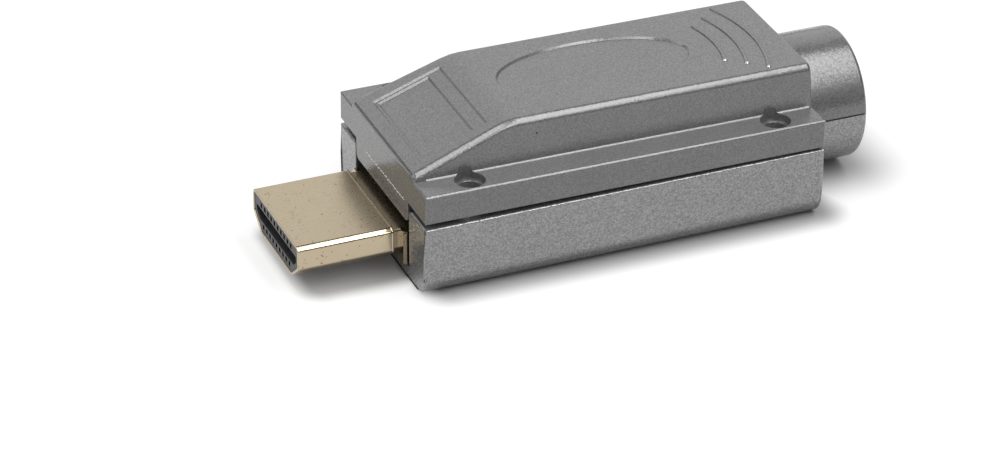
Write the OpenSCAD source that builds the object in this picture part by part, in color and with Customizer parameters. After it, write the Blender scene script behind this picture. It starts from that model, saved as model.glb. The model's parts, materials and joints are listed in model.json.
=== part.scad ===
// Field-wired audio-video cable plug: a plated plug in a two-half metal shell, with screw terminals inside.
// Millimetres, +Z up. The plug points to -X, the cable tube to +X, and the shell stands on Z = 0.

/* [Shells] */
// Length of the two shells, without the plug and the cable tube
body_length = 45.8; // [44:0.2:60]
// Width of the two shells
body_width = 25; // [24.8:0.2:32]
// Height of the lower shell, up to the parting line
base_height = 8.4; // [8:0.1:12]
// Height of the upper shell's rim
rim_height = 3.3; // [3:0.05:3.5]
// Height of the upper shell, from its underside to the top of the roof
cover_height = 8; // [7.4:0.1:12]
// Width of the roof at its top
roof_width = 16.8; // [16.2:0.1:17.4]
// How far each roof wall leans out down to the rim
roof_lean = 1; // [0.5:0.05:1.1]
// Length of the slope in front of the roof
slope_length = 10.9; // [8:0.1:11.5]
// Height of the slope's front edge above the upper shell's underside
slope_foot = 4; // [3.8:0.05:4.4]
// Thickness of the shell walls
wall = 1.4; // [1.2:0.1:1.8]
// Thickness of the lower shell's floor
floor_t = 1; // [0.8:0.1:1.2]
// Thickness of the rim's ledge
ledge_t = 1.1; // [0.8:0.1:1.3]
// How far each side of the lower shell leans in down to its foot
draft = 0.25; // [0.1:0.05:0.4]
// Lift of the loose upper shell's front, in degrees about the end of the tube
cover_tilt = 0.46; // [0:0.02:0.6]
// Gap under the upper shell at the end of the tube
cover_gap = 0.18; // [0.1:0.02:0.3]

/* [Edges] */
// Radius of the shells' upright corners
corner_r = 0.35; // [0.3:0.05:1.2]
// Radius along the sides of the lower shell's foot
foot_r = 2.4; // [1.6:0.1:2.6]
// Radius at the front and the rear of the lower shell's foot
foot_end_r = 0.3; // [0.2:0.05:0.6]
// Radius along the rim's upper edges
rim_r = 0.3; // [0.2:0.05:0.4]
// Radius along the roof's edges
roof_r = 0.9; // [0.5:0.1:1]
// Radius between the slope and the roof
blend_r = 6; // [3:0.5:10]
// Radius of the cove between the rim's ledge and the roof wall
cove_r = 0.3; // [0.2:0.05:0.4]
// Radius of the fine edges
edge_r = 0.22; // [0.1:0.02:0.3]

/* [Relief on the upper shell] */
// Depth of one step of the relief
relief_step = 0.2; // [0.1:0.05:0.3]
// Distance up the slope at which the panel starts
panel_start = 1.6; // [1.2:0.1:2]
// Length of the panel's outer step
panel_length = 8.2; // [6:0.1:8.6]
// Width of the panel's outer step
panel_width = 13.4; // [10:0.1:13.6]
// Length of the plain band above the panel's inner step
panel_band = 1.6; // [0.5:0.1:2]
// Border of the inner step on its other sides
panel_border = 0.4; // [0.2:0.05:0.8]
// Distance from the shells' front to the centre of the oval
oval_x = 24.1; // [23.6:0.1:25]
// Length of the oval
oval_length = 21.1; // [16:0.1:22]
// Width of the oval
oval_width = 10.8; // [8:0.1:11.5]
// Width of the sloping border inside the oval
oval_border = 0.45; // [0.2:0.05:0.8]
// Radius of the first arc, about the oval's centre
arc_r = 14.1; // [13.5:0.1:14.5]
// Distance from one arc to the next
arc_pitch = 2.25; // [1.5:0.05:2.4]
// Half angle of the first arc
arc_half = 17; // [10:1:18]
// Half angle that each further arc adds
arc_half_gain = 2.8; // [0:0.1:3]
// Width of the engraved line
arc_line = 0.4; // [0.3:0.05:0.6]

/* [Case screws] */
// Distance from the shells' front to the first pair of holes
screw_x = 5.7; // [5.4:0.1:6.6]
// Distance from the shells' rear to the last pair of holes
screw_rear = 5.1; // [4.6:0.1:5.6]
// Distance between the holes across the plug
screw_pitch_y = 21.1; // [20.6:0.1:21.3]
// Clearance hole in the upper shell
screw_clear_d = 2.4; // [2.1:0.1:2.6]
// Threaded hole in the lower shell
screw_tap_d = 1.7; // [1.5:0.05:2]
// Depth of the threaded hole
screw_tap_depth = 5.5; // [3:0.5:6]
// Counterbore for the screw head
head_d = 3.3; // [3.1:0.1:3.5]
// Depth of the counterbore
head_depth = 0.8; // [0.6:0.1:1.2]
// Diameter of the screw bosses
boss_d = 4.4; // [4.2:0.1:4.6]

/* [Plug] */
// Width of the plug
plug_width = 13.9; // [13.8:0.05:14]
// Height of the plug
plug_height = 4.45; // [4.4:0.05:4.6]
// Height of the plug's upright sides
plug_side = 2.65; // [2.4:0.05:2.8]
// Width of the plug's narrow side
plug_narrow = 9.54; // [9.2:0.02:10]
// How far the plug stands out of the shells
plug_reach = 12; // [11:0.1:13]
// Height of the plug's underside above the shells' foot
plug_sill = 1.5; // [1.45:0.05:1.8]
// Thickness of the plug's sheet metal
sheet = 0.3; // [0.25:0.05:0.35]
// Step from the plug shell down to the collar's neck
neck_step = 0.3; // [0.2:0.05:0.35]
// Length of the collar's neck
neck_length = 0.85; // [0.6:0.05:1.2]
// How far the collar's front plate stands out of the shells
plate_reach = 0.5; // [0.3:0.05:0.8]
// Thickness of the collar's ears behind the front wall
ear_t = 0.5; // [0.4:0.05:0.7]
// How far the insulator reaches behind the shells' front
core_depth = 3.6; // [3.2:0.1:3.7]
// Height of the slot for the mating tongue
slot_height = 1.4; // [1.2:0.05:1.5]
// Depth of that slot
slot_depth = 9; // [7:0.5:9.5]

/* [Contacts] */
// Contacts above the slot, one more than below it
contacts_above = 10; // [8:1:10]
// Pitch of the contacts in a row
contact_pitch = 1; // [0.9:0.05:1.05]
// Width of one contact
contact_width = 0.4; // [0.3:0.02:0.44]
// Thickness of one contact
contact_t = 0.2; // [0.15:0.01:0.22]
// How far the contact's bend stands into the slot
contact_bend = 0.25; // [0.1:0.05:0.3]
// Length of the contact's tail on the board
tail_length = 1.8; // [1:0.1:2]

/* [Front notch and tongue] */
// Width of the notch in the lower shell's front wall
notch_width = 15.5; // [15:0.1:15.8]
// Thickness of the sill that is left under the notch
notch_sill = 1.4; // [1.1:0.05:1.45]
// Radius of the notch's upper corners
notch_r = 0.7; // [0.4:0.1:0.9]
// How far the upper shell's tongue reaches below the parting line
tongue_drop = 2.3; // [2:0.1:2.7]

/* [Cable tube] */
// Outer diameter of the tube
tube_d = 14.4; // [14:0.1:15]
// Length of the tube behind the shells
tube_length = 7.8; // [6:0.2:14]
// Bore of the tube
tube_bore = 10.4; // [8:0.1:11]
// Height of the tube's underside above the shells' foot
tube_lift = 0.5; // [0.3:0.05:0.8]

/* [Board and terminals] */
// Thickness of the circuit board
board_t = 1.2; // [1:0.1:1.4]
// Width of the board's seat on each rail
rail_seat = 0.8; // [0.5:0.1:1]
// Ways in each terminal block
ways = 10; // [8:1:10]
// Pitch of the ways
way_pitch = 2.54; // [2.5:0.01:2.56]
// Depth of each terminal block
block_depth = 6; // [5.8:0.1:6.1]
// Height of each terminal block
block_height = 8.4; // [8:0.1:8.8]
// Outer width of one wire clamp
clamp_width = 1.8; // [1.7:0.05:1.9]
// Height of one wire clamp
clamp_height = 3.8; // [3.6:0.1:4]
// Thread of the clamp screws
clamp_thread = 1.3; // [1.1:0.05:1.4]
// Head of the clamp screws
clamp_head_d = 1.9; // [1.7:0.05:2]

/* [Hidden] */
$fn = 48;
// Largest angle that one facet of a rounded edge spans
arc_step = 15;
// The same for long shallow curves
long_arc_step = 4;
// The same around the oval
oval_step = 5;
// Thickness of the thin sections that the roof is lofted through
slice = 0.06;
// Overrun of a cut past the face that it opens
over = 1;
// Clearance of pieces that seat in one another
fit = 0.02;
// Clearance of pieces that pass one another
clear = 0.2;
// Side clearance of pieces that slide in one another
slide = 0.05;

front_x = plug_reach - (plug_reach + body_length + tube_length) / 2;
rear_x = front_x + body_length;
nose_x = front_x - plug_reach;
tail_x = rear_x + tube_length;
half_width = body_width / 2;
roof_half = roof_width / 2;
slope_angle = atan((cover_height - slope_foot) / slope_length);
inner_half = half_width - wall;
tube_end_r = 2 * edge_r;
roof_foot_z = rim_height / 2;
roof_end_r = roof_r / 2;
cove_start = max(edge_r, (rim_height + cove_r + roof_r - slope_foot) / tan(slope_angle));

tube_z = tube_d / 2 + tube_lift;
oval_at = front_x + oval_x;
screw_pitch_x = body_length - screw_x - screw_rear;
screw_spots = [
    for (x = [screw_x, screw_x + screw_pitch_x])
        for (side = [-1, 1])
            [front_x + x, side * screw_pitch_y / 2]
];
boss_relief = 0.1;

plug_mid = plug_sill + plug_height / 2;
plug_outline = [
    [-plug_narrow / 2, 0],
    [plug_narrow / 2, 0],
    [plug_width / 2, plug_height - plug_side],
    [plug_width / 2, plug_height],
    [-plug_width / 2, plug_height],
    [-plug_width / 2, plug_height - plug_side]
];
plug_foot_r = 0.7;
plug_side_r = 0.6;
plug_top_r = 0.65;
plug_radii = [plug_foot_r, plug_foot_r, plug_side_r, plug_top_r, plug_top_r, plug_side_r];
least_r = 0.15;
plate_x = front_x - plate_reach;
neck_x = plate_x - neck_length;
bead_length = 0.25;
bead_rise = 0.1;
neck_inset = neck_step + sheet;
plate_r = 0.35;
plate_gap = 0.3;
ear_x = front_x + wall + clear;
core_rear = front_x + core_depth;
core_recess = 0.1;

contacts_below = contacts_above - 1;
channel_room = 0.25;
channel_width = contact_width + 2 * slide;
channel_height = contact_t + channel_room;
channel_floor = 0.2;
contact_z = slot_height / 2 + channel_floor + fit;
window_depth = 0.7;
window_height = 0.6;
window_width = 0.52;
bend_rise = 1.2;
bend_flat = 0.4;
bend_fall = 2.4;

board_z = plug_mid - board_t / 2;
board_top = plug_mid + board_t / 2;
board_front = core_rear + clear;
board_half = inner_half - clear;
boss_room = boss_d / 2 + clear;
board_shoulder = front_x + screw_x + boss_room;
board_rear = front_x + screw_x + screw_pitch_x - boss_room;
board_neck_half = screw_pitch_y / 2 - boss_room;
rail_half = board_half - rail_seat;

block_end = 0.2;
block_gap = 0.6;
block_length = ways * way_pitch + 2 * block_end;
block_x = front_x + slope_length + block_gap;
block_y = 0.1;
first_way = block_x + block_length / 2 - (ways - 1) * way_pitch / 2;
cell_width = clamp_width + 2 * slide;
cell_back = 0.6;
cell_front = 0.8;
cell_floor = 0.8;
cell_top = 5.6;
shelf_t = 0.8;
clamp_back = 1.5;
clamp_depth = block_depth - cell_front - clamp_back - clear;
clamp_z = cell_floor + fit;
clamp_plate = 0.6;
clamp_lid = 0.9;
entry_width = 1.3;
bar_t = 0.4;
wire_lift = 0.6;
bar_z = clamp_z + clamp_height - clamp_lid - wire_lift - bar_t;
leg_width = 0.8;
leg_t = 0.4;
leg_y = 0.75;
leg_drop = 0.9;
leg_hole_d = 1.1;
clamp_head_t = 1.1;

metal_paint = [0.56, 0.56, 0.56];
gold_plate = [0.78, 0.69, 0.5];
dark_plastic = [0.13, 0.13, 0.14];
board_green = [0.08, 0.32, 0.18];
block_green = [0.2, 0.55, 0.28];
tinned = [0.75, 0.75, 0.72];

// Outline helpers: points run counter-clockwise

function unit(v) = v / norm(v);
function left_of(v) = [-v.y, v.x];
function turned(v, a) = [v.x * cos(a) - v.y * sin(a), v.x * sin(a) + v.y * cos(a)];
function before(list, i) = list[(i + len(list) - 1) % len(list)];
function after(list, i) = list[(i + 1) % len(list)];

// The points of an arc, from one angle to another
function circle_points(centre, r, from, to, step) =
    let (steps = ceil(abs(to - from) / step))
    [for (k = [0:steps]) let (a = from + (to - from) * k / steps) centre + r * [cos(a), sin(a)]];

// The points that round a corner between two directions
function corner_arc(p, into, out, r) =
    let (
        turn = atan2(cross(into, out), into * out),
        spoke = -sign(turn) * r * left_of(into),
        centre = p - into * r * tan(abs(turn) / 2) - spoke,
        steps = ceil(abs(turn) / arc_step)
    )
    r == 0 ? [p] : [for (k = [0:steps]) centre + turned(spoke, turn * k / steps)];

function rounded(points, radii) = [
    for (i = [0:len(points) - 1])
        let (into = unit(points[i] - before(points, i)), out = unit(after(points, i) - points[i]))
            each corner_arc(points[i], into, out, radii[i])
];

function inset(points, d) = [
    for (i = [0:len(points) - 1])
        let (
            a = left_of(unit(points[i] - before(points, i))),
            b = left_of(unit(after(points, i) - points[i]))
        )
            points[i] + d * (a + b) / (1 + a * b)
];

function rectangle(u0, u1, v0, v1) = [[u0, v0], [u1, v0], [u1, v1], [u0, v1]];
function trapezoid(half0, v0, half1, v1) = [[-half0, v0], [half0, v0], [half1, v1], [-half1, v1]];

// Extrudes an outline drawn in Y and Z
module along_x(x0, x1) {
    translate([x0, 0, 0])
        rotate([90, 0, 90])
            linear_extrude(x1 - x0)
                children();
}

// Extrudes an outline drawn in X and Z
module along_y(y0, y1) {
    translate([0, y1, 0])
        rotate([90, 0, 0])
            linear_extrude(y1 - y0)
                children();
}

// Shells

// The shells' outline from above
module plan(height) {
    linear_extrude(height)
        polygon(rounded(rectangle(front_x, rear_x, -half_width, half_width), [for (i = [1:4]) corner_r]));
}

// The shells' outline from the side, with its own radius at the foot and at the top
module side_view(height, foot, top) {
    along_y(-half_width, half_width)
        polygon(rounded(rectangle(front_x, rear_x, 0, height), [foot, foot, top, top]));
}

module base_block() {
    section = trapezoid(half_width - draft, 0, half_width, base_height);
    intersection() {
        along_x(front_x, rear_x)
            polygon(rounded(section, [foot_r, foot_r, edge_r, edge_r]));
        side_view(base_height, foot_end_r, edge_r);
        plan(base_height);
    }
}

module base_cavity() {
    foot = max(foot_r - wall, least_r);
    top = base_height + over;
    intersection() {
        along_x(front_x + wall, rear_x - wall)
            polygon(rounded(rectangle(-inner_half, inner_half, floor_t, top), [foot, foot, 0, 0]));
        linear_extrude(top)
            polygon(rounded(
                rectangle(front_x + wall, rear_x - wall, -inner_half, inner_half),
                [for (i = [1:4]) corner_r]
            ));
    }
}

// Tube along X with rounded ends, about the axis at height z
module tube_body(z) {
    profile = rectangle(0, tube_d / 2, rear_x - wall, tail_x);
    translate([0, 0, z])
        rotate([0, 90, 0])
            rotate_extrude()
                polygon(rounded(profile, [0, 0, tube_end_r, 0]));
}

module tube_hole(z) {
    translate([rear_x - wall - over, 0, z])
        rotate([0, 90, 0])
            cylinder(d = tube_bore, h = tube_length + wall + 2 * over);
    translate([tail_x - tube_end_r, 0, z])
        rotate([0, 90, 0])
            cylinder(d1 = tube_bore, d2 = tube_bore + 2 * (tube_end_r + over), h = tube_end_r + over);
}

// Half space above or below the parting plane, around the tube
module tube_side(z0, z1) {
    translate([rear_x - wall, -tube_d, z0])
        cube([tube_length + wall + over, 2 * tube_d, z1 - z0]);
}

module at_screws() {
    for (spot = screw_spots)
        translate([spot.x, spot.y, 0])
            children();
}

// Rails that carry the board's long edges
module board_rails() {
    for (side = [0, 1])
        mirror([0, side, 0])
            translate([board_shoulder, rail_half, floor_t / 2])
                cube([board_rear - board_shoulder, half_width - rail_half, board_z - fit - floor_t / 2]);
}

module front_notch() {
    half = notch_width / 2;
    mouth = half + 2 * notch_r;
    top = base_height;
    outline = [
        [-half, notch_sill], [half, notch_sill], [half, top], [mouth, top],
        [mouth, top + over], [-mouth, top + over], [-mouth, top], [-half, top]
    ];
    along_x(front_x - over, front_x + wall + ear_t + 2 * clear)
        polygon(rounded(outline, [edge_r, edge_r, notch_r, 0, 0, 0, 0, notch_r]));
}

module lower_shell() {
    color(metal_paint)
        difference() {
            union() {
                difference() {
                    union() {
                        base_block();
                        intersection() {
                            tube_body(tube_z);
                            tube_side(0, base_height);
                        }
                    }
                    base_cavity();
                }
                intersection() {
                    base_block();
                    union() {
                        at_screws()
                            translate([0, 0, floor_t / 2])
                                cylinder(d = boss_d, h = base_height - boss_relief - floor_t / 2);
                        board_rails();
                    }
                }
            }
            front_notch();
            tube_hole(tube_z);
            at_screws()
                translate([0, 0, base_height - screw_tap_depth])
                    cylinder(d = screw_tap_d, h = screw_tap_depth + over);
        }
}

// The upper shell is drawn from its own underside and then laid on the lower one
module on_parting_line() {
    translate([tail_x, 0, base_height + cover_gap])
        rotate([0, cover_tilt, 0])
            translate([-tail_x, 0, 0])
                children();
}

module rim_block() {
    intersection() {
        along_x(front_x, rear_x)
            polygon(rounded(
                rectangle(-half_width, half_width, 0, rim_height),
                [edge_r, edge_r, rim_r, rim_r]
            ));
        side_view(rim_height, edge_r, rim_r);
        plan(rim_height);
    }
}

function slope_z(x) = slope_foot + x * tan(slope_angle);

// Half width of the roof at a height, along its leaning walls
function roof_half_at(z) = roof_half + roof_lean * (cover_height - z) / (cover_height - roof_foot_z);

// The roof's sections from front to rear: distance from the front, height and how far the sides draw in
function roof_sections(t) =
    let (
        drop = t / cos(slope_angle),
        crest = [slope_length + drop * sin(slope_angle) / (1 + cos(slope_angle)), cover_height - t],
        ridge = corner_arc(crest, [cos(slope_angle), sin(slope_angle)], [1, 0], blend_r),
        ridge_end = crest.x + blend_r * tan(slope_angle / 2)
    )
    concat(
        [for (a = [90:-30:0])
            let (pull = roof_end_r * (1 - cos(a)), x = t + roof_end_r * (1 - sin(a)))
                [x, slope_z(x) - drop - pull, pull]],
        [for (k = [0:len(ridge) - 2]) [ridge[k].x, ridge[k].y, 0]],
        [[ridge_end, crest.y, 0]],
        [for (a = [0:30:90])
            let (pull = roof_end_r * (1 - cos(a)))
                [body_length - t - roof_end_r * (1 - sin(a)) - slice, cover_height - t - pull, pull]]
    );

// The roof, or with a thickness the hollow under it
module roof_form(t, foot_z) {
    edge = max(roof_r - t, least_r);
    hull()
        for (s = roof_sections(t))
            let (draw = t + s.z)
                along_x(front_x + s.x, front_x + s.x + slice)
                    polygon(rounded(
                        trapezoid(roof_half_at(foot_z) - draw, foot_z, roof_half_at(s.y) - draw, s.y),
                        [0, 0, edge, edge]
                    ));
}

// Concave strip between the ledge and the roof's side walls
module roof_cove() {
    top = rim_height + cove_r;
    middle = roof_half_at(top) + cove_r - fit;
    cove = circle_points([middle, top], cove_r, 270, 180, arc_step);
    along_x(front_x + cove_start, rear_x - roof_end_r)
        for (side = [0, 1])
            mirror([side, 0])
                polygon(concat([[0, roof_foot_z], [middle, roof_foot_z]], cove, [[0, top]]));
}

module rim_cavity() {
    difference() {
        translate([front_x + wall, -inner_half, -over])
            cube([body_length - 2 * wall, 2 * inner_half, rim_height - ledge_t + over]);
        at_screws()
            translate([0, 0, -2 * over])
                cylinder(d = boss_d, h = rim_height + 2 * over);
    }
}

module tongue() {
    half = notch_width / 2 - clear;
    along_x(front_x, front_x + wall)
        polygon(rounded(rectangle(-half, half, -tongue_drop, roof_foot_z), [notch_r, notch_r, 0, 0]));
}

// Flat pocket with walls at 45 degrees, sunk by a depth from Z = 0
module pocket(x0, x1, half, depth) {
    intersection() {
        along_x(x0 - over, x1 + over)
            polygon(trapezoid(half - depth, -depth, half + over, over));
        along_y(-half - over, half + over)
            polygon([[x0 + depth, -depth], [x1 - depth, -depth], [x1 + over, over], [x0 - over, over]]);
    }
}

// Two nested steps sunk into the slope
module slope_panel() {
    panel_end = panel_start + panel_length;
    panel_half = panel_width / 2;
    translate([front_x, 0, slope_foot])
        rotate([0, -slope_angle, 0]) {
            pocket(panel_start, panel_end, panel_half, relief_step);
            translate([0, 0, -relief_step])
                pocket(
                    panel_start + panel_border, panel_end - panel_band,
                    panel_half - panel_border, relief_step
                );
        }
}

// Shallow oval with a sloping border
module roof_oval() {
    flare = (relief_step + over) * oval_border / relief_step;
    floor_x = oval_length / 2 - oval_border;
    floor_y = oval_width / 2 - oval_border;
    translate([oval_at, 0, cover_height - relief_step])
        linear_extrude(relief_step + over, scale = 1 + flare / floor_y)
            polygon([for (a = [0:oval_step:360 - oval_step]) [floor_x * cos(a), floor_y * sin(a)]]);
}

// One engraved arc about the origin, with round ends
function arc_outline(r, half) =
    let (top = r * [cos(half), sin(half)], foot = r * [cos(half), -sin(half)])
    concat(
        circle_points([0, 0], r + arc_line / 2, -half, half, long_arc_step),
        circle_points(top, arc_line / 2, half + arc_step, half + 180 - arc_step, 2 * arc_step),
        circle_points([0, 0], r - arc_line / 2, half, -half, long_arc_step),
        circle_points(foot, arc_line / 2, 180 - half + arc_step, 360 - half - arc_step, 2 * arc_step)
    );

module roof_arcs() {
    translate([oval_at, 0, cover_height - relief_step])
        linear_extrude(relief_step + over)
            for (i = [0:2])
                polygon(arc_outline(arc_r + i * arc_pitch, arc_half + i * arc_half_gain));
}

module upper_shell() {
    cover_tube_z = tube_z - base_height;
    color(metal_paint)
        on_parting_line()
            difference() {
                union() {
                    rim_block();
                    roof_form(0, roof_foot_z);
                    roof_cove();
                    tongue();
                    intersection() {
                        tube_body(cover_tube_z);
                        tube_side(0, tube_d);
                    }
                }
                rim_cavity();
                roof_form(wall, -over);
                tube_hole(cover_tube_z);
                at_screws() {
                    translate([0, 0, -over])
                        cylinder(d = screw_clear_d, h = rim_height + 2 * over);
                    translate([0, 0, rim_height - head_depth])
                        cylinder(d = head_d, h = cover_height);
                }
                slope_panel();
                roof_oval();
                roof_arcs();
            }
}

// Plug

module plug_section(d) {
    translate([0, plug_sill])
        polygon(rounded(inset(plug_outline, d), [for (r = plug_radii) max(r - d, least_r)]));
}

module plug_shell() {
    color(gold_plate)
        difference() {
            union() {
                along_x(nose_x, neck_x)
                    plug_section(0);
                along_x(neck_x - bead_length, neck_x)
                    plug_section(-bead_rise);
            }
            along_x(nose_x - over, neck_x + over)
                plug_section(sheet);
        }
}

module collar_block(x0, x1, half, z0, z1) {
    along_x(x0, x1)
        polygon(rounded(rectangle(-half, half, z0, z1), [for (i = [1:4]) plate_r]));
}

module plug_collar() {
    neck_top = plug_sill + plug_height - neck_step;
    sleeve_half = plug_width / 2 - neck_step;
    color(gold_plate)
        difference() {
            union() {
                along_x(neck_x, plate_x)
                    plug_section(neck_step);
                collar_block(plate_x, front_x, notch_width / 2 - plate_gap, plug_sill, neck_top);
                collar_block(front_x, core_rear, sleeve_half, plug_sill, neck_top);
                collar_block(ear_x, ear_x + ear_t, notch_width / 2 + wall / 2, floor_t + fit, neck_top);
            }
            along_x(neck_x - over, core_rear + over)
                plug_section(neck_inset);
        }
}

// Repeats a shape along one row of contacts
function contact_y(i, count) = (i - (count + 1) / 2) * contact_pitch;

module at_contacts(count, below) {
    translate([0, 0, plug_mid])
        mirror([0, 0, below ? 1 : 0])
            for (i = [1:count])
                translate([0, contact_y(i, count), 0])
                    children();
}

// Room for one contact: a window in the front face, an open stretch at the slot and a closed channel behind
module contact_room() {
    floor_z = slot_height / 2 + channel_floor;
    translate([nose_x - over, -window_width / 2, floor_z])
        cube([window_depth + core_recess + over, window_width, window_height]);
    translate([nose_x + window_depth, -channel_width / 2, floor_z])
        cube([core_rear - nose_x + over, channel_width, channel_height]);
    translate([nose_x + window_depth + core_recess, -channel_width / 2, 0])
        cube([slot_depth - window_depth - core_recess, channel_width, floor_z + fit]);
}

module plug_insulator() {
    slot_inset = neck_inset + sheet;
    color(dark_plastic)
        difference() {
            union() {
                along_x(nose_x + core_recess, neck_x - fit)
                    plug_section(sheet + fit);
                along_x(neck_x - 2 * fit, core_rear)
                    plug_section(neck_inset + fit);
            }
            intersection() {
                along_x(nose_x - over, nose_x + slot_depth)
                    plug_section(slot_inset);
                translate([nose_x - over, -plug_width / 2, plug_mid - slot_height / 2])
                    cube([slot_depth + over, plug_width, slot_height]);
            }
            at_contacts(contacts_above, false)
                contact_room();
            at_contacts(contacts_below, true)
                contact_room();
        }
}

// One contact from its tip over the bend to its tail, as a strip of even thickness
module contact_strip() {
    tail_z = board_t / 2 + fit;
    bend_z = slot_height / 2 - contact_bend;
    tip = nose_x + window_depth + 2 * core_recess;
    bend_x = tip + bend_rise;
    tail = board_front + clear;
    centre = [
        [tip, contact_z], [bend_x, bend_z], [bend_x + bend_flat, bend_z],
        [bend_x + bend_flat + bend_fall, contact_z], [core_rear + fit, contact_z],
        [tail, tail_z], [tail + tail_length, tail_z]
    ];
    raised = [for (i = [len(centre) - 1:-1:0]) centre[i] + [0, contact_t]];
    along_y(-contact_width / 2, contact_width / 2)
        polygon(concat(centre, raised));
}

module upper_contact(i) {
    color(gold_plate)
        translate([0, contact_y(i, contacts_above), plug_mid])
            contact_strip();
}

module lower_contact(i) {
    color(gold_plate)
        translate([0, contact_y(i, contacts_below), plug_mid])
            mirror([0, 0, 1])
                contact_strip();
}

// Board and terminals

function way_x(i) = first_way + (i - 1) * way_pitch;

// Draws a terminal piece of the far row, or mirrors it to the near row
module row_side(near) {
    mirror([0, near ? 1 : 0, 0])
        translate([0, block_y, board_top])
            children();
}

module circuit_board() {
    outline = [
        [board_front, -board_neck_half], [board_shoulder, -board_neck_half],
        [board_shoulder, -board_half], [board_rear, -board_half],
        [board_rear, board_half], [board_shoulder, board_half],
        [board_shoulder, board_neck_half], [board_front, board_neck_half]
    ];
    color(board_green)
        difference() {
            translate([0, 0, board_z])
                linear_extrude(board_t)
                    polygon(outline);
            for (side = [-1, 1])
                for (i = [1:ways])
                    translate([way_x(i), side * (block_y + leg_y + leg_t / 2), board_z - over])
                        cylinder(d = leg_hole_d, h = board_t + 2 * over);
        }
}

// One cell of a terminal block: clamp room, wire entry, screw well and pin hole
module terminal_cell() {
    translate([-cell_width / 2, cell_back, cell_floor])
        cube([cell_width, block_depth - cell_back - cell_front, cell_top - cell_floor]);
    translate([-entry_width / 2 - clear, block_depth / 2, cell_floor + clamp_plate])
        cube([entry_width + 2 * clear, block_depth, clamp_height - clamp_lid - clamp_plate]);
    translate([0, clamp_back + clamp_depth / 2, cell_top - over])
        cylinder(d = clamp_thread + clear, h = shelf_t + 2 * over);
    translate([0, clamp_back + clamp_depth / 2, cell_top + shelf_t])
        cylinder(d = clamp_head_d + clear, h = block_height);
    translate([-leg_width / 2 - clear / 2, leg_y - clear / 2, -over])
        cube([leg_width + clear, leg_t + clear, cell_floor + 2 * over]);
}

module terminal_block(near) {
    shoulder = 0.7;
    outline = [
        [0, 0], [block_depth, 0], [block_depth, cell_top], [block_depth - shoulder, cell_top + shoulder],
        [block_depth - shoulder, block_height], [shoulder, block_height], [0, block_height - shoulder]
    ];
    color(block_green)
        row_side(near)
            difference() {
                along_x(block_x, block_x + block_length)
                    polygon(outline);
                for (i = [1:ways])
                    translate([way_x(i), 0, 0])
                        terminal_cell();
            }
}

// Rising cage that lifts the wire against the pin's bar
module wire_clamp(i, near) {
    passage = clamp_height - clamp_plate - clamp_lid;
    color(tinned)
        row_side(near)
            translate([way_x(i), clamp_back, clamp_z])
                difference() {
                    translate([-clamp_width / 2, 0, 0])
                        cube([clamp_width, clamp_depth, clamp_height]);
                    translate([-entry_width / 2, -over, clamp_plate])
                        cube([entry_width, clamp_depth + 2 * over, passage]);
                    translate([0, clamp_depth / 2, clamp_plate])
                        cylinder(d = clamp_thread + 2 * fit, h = clamp_height);
                }
}

module clamp_screws(near) {
    slot_width = 0.4;
    slot_cut = 0.5;
    head_z = cell_top + shelf_t + fit;
    color(tinned)
        row_side(near)
            for (i = [1:ways])
                translate([way_x(i), clamp_back + clamp_depth / 2, 0])
                    difference() {
                        union() {
                            translate([0, 0, bar_z + bar_t + fit])
                                cylinder(d = clamp_thread, h = head_z - bar_z - bar_t);
                            translate([0, 0, head_z])
                                cylinder(d = clamp_head_d, h = clamp_head_t);
                        }
                        translate([-clamp_head_d, -slot_width / 2, head_z + clamp_head_t - slot_cut])
                            cube([2 * clamp_head_d, slot_width, slot_cut + over]);
                    }
}

// Solder leg through the board, with a bar through the clamp
module terminal_pins(near) {
    bar_end = clamp_back + clamp_depth - clear;
    leg_foot = -board_t - leg_drop;
    color(tinned)
        row_side(near)
            for (i = [1:ways])
                translate([way_x(i) - leg_width / 2, 0, 0]) {
                    translate([0, leg_y, leg_foot])
                        cube([leg_width, leg_t, bar_z + bar_t - leg_foot]);
                    translate([0, leg_y, bar_z])
                        cube([leg_width, bar_end - leg_y, bar_t]);
                }
}

lower_shell();
upper_shell();
plug_shell();
plug_collar();
plug_insulator();
for (i = [1:contacts_above])
    upper_contact(i);
for (i = [1:contacts_below])
    lower_contact(i);
circuit_board();
terminal_block(true);  // terminal_block_near
terminal_block(false);  // terminal_block_far
for (i = [1:ways])
    wire_clamp(i, true);
for (i = [1:ways])
    wire_clamp(i, false);
clamp_screws(true);  // clamp_screws_near
clamp_screws(false);  // clamp_screws_far
terminal_pins(true);  // terminal_pins_near
terminal_pins(false);  // terminal_pins_far
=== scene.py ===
# %% [markdown]
# # A field-wired cable plug, dressed for its picture
# The real thing is a plated sheet-metal plug that sticks out of a two-half zinc casting.
# The casting is painted silver, its upper half lies loose on the lower one, and a split tube at
# the back takes the cable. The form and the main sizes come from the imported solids, so this
# lesson adds the looks: soft edges, sheet metal, paint, plating, light and a camera.

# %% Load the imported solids
import json
import math

import bmesh
import bpy
from mathutils import Matrix, Vector


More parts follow.
